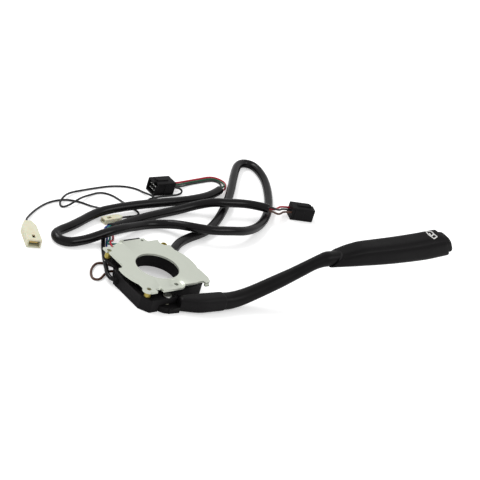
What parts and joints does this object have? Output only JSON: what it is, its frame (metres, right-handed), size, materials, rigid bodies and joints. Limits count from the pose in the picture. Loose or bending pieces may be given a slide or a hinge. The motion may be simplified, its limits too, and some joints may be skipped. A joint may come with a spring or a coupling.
{
  "type": "windscreen wiper switch",
  "caption": "Steering column wiper switch: bored face plate on a moulded housing, bent lever with hollow grip and end push button, and a sleeved wiring loom with plugs.",
  "frame": {"origin": "centre of the column bore in the face plate's outer face", "axes": "+Z out of the face plate along the column, +X along the plate's front edge towards the lever's grip, +Y to the rear of the plate; the switch lies on a surface at Z = -0.016"},
  "size_m": [0.3079, 0.2096, 0.056],
  "materials": {
    "zinc_plate": "pale zinc plating, satin",
    "black_moulding": "moulded, matt",
    "yellow_zinc": "yellow zinc plating",
    "bright_steel": "bright zinc",
    "phenolic": "brown phenolic sheet",
    "brass": "plain",
    "silver_contact": "silver-faced",
    "copper": "copper strip",
    "tinned_tag": "tinned",
    "nylon": "natural",
    "spring_steel": "spring steel",
    "black_rubber": "soft matt",
    "inner_insulation": "wire insulation",
    "black_coated_steel": "black plastic-dipped, satin",
    "grip_moulding": "fine-grained moulding",
    "button_moulding": "fine-grained moulding",
    "black_sleeve": "soft glossy sleeving",
    "brown_insulation": "wire insulation",
    "red_insulation": "wire insulation",
    "teal_insulation": "wire insulation",
    "blue_insulation": "wire insulation",
    "green_insulation": "wire insulation",
    "black_insulation": "wire insulation",
    "connector_moulding": "moulded",
    "natural_nylon": "natural nylon"
  },
  "bodies": {
    "base": {"face_plate": "zinc_plate", "housing": "black_moulding", "plate_spacers": "yellow_zinc", "housing_screws": "bright_steel", "contact_board": "phenolic", "board_rivets": "brass", "fixed_contacts": "silver_contact", "common_contact": "copper", "terminal_tags": "tinned_tag", "pivot_pin": "bright_steel", "pivot_washer": "nylon", "pivot_clip": "bright_steel", "detent_leaf": "spring_steel", "cable_boot": "black_rubber", "bundle_grommet": "black_rubber", "inner_wires": "inner_insulation", "trunk_sleeve": "black_sleeve", "branch_sleeve": "black_sleeve", "left_bundle": "black_sleeve", "brown_loop": "brown_insulation", "red_wire": "red_insulation", "teal_wire": "teal_insulation", "blue_wire": "blue_insulation", "tail_black": "black_insulation", "tail_green": "green_insulation", "tail_red": "red_insulation", "feed_red": "red_insulation", "feed_black": "black_insulation", "feed_brown": "brown_insulation", "lead_one": "black_insulation", "lead_two": "black_insulation", "lead_three": "black_insulation", "connector_one": "connector_moulding", "connector_two": "connector_moulding", "pins_one": "tinned_tag", "pins_two": "tinned_tag", "lead_plug": "natural_nylon", "lead_terminal": "brass", "small_plug": "natural_nylon", "small_terminal": "brass"},
    "lever": {"lever_hub": "black_moulding", "lever_arm": "black_coated_steel", "contact_plunger": "nylon", "plunger_spring": "spring_steel", "bridge_contact": "copper", "grip": "grip_moulding", "button_spring": "spring_steel", "button_switch": "phenolic"},
    "button": {"washer_button": "button_moulding"}
  },
  "joints": [
    {"name": "lever_swing", "type": "hinge", "parent": "base", "child": "lever", "pos_m": [-0.009, -0.027, -0.012], "axis": [0, 0, 1], "range_deg": [0, 18], "deforming": ["detent_leaf"]},
    {"name": "washer_button", "type": "slide", "parent": "lever", "child": "button", "axis": [-0.9936, 0.1044, -0.0419], "range_m": [0, 0.003], "stiffness_N_per_m": 600, "springref_m": -0.002, "deforming": ["button_spring"]}
  ]
}
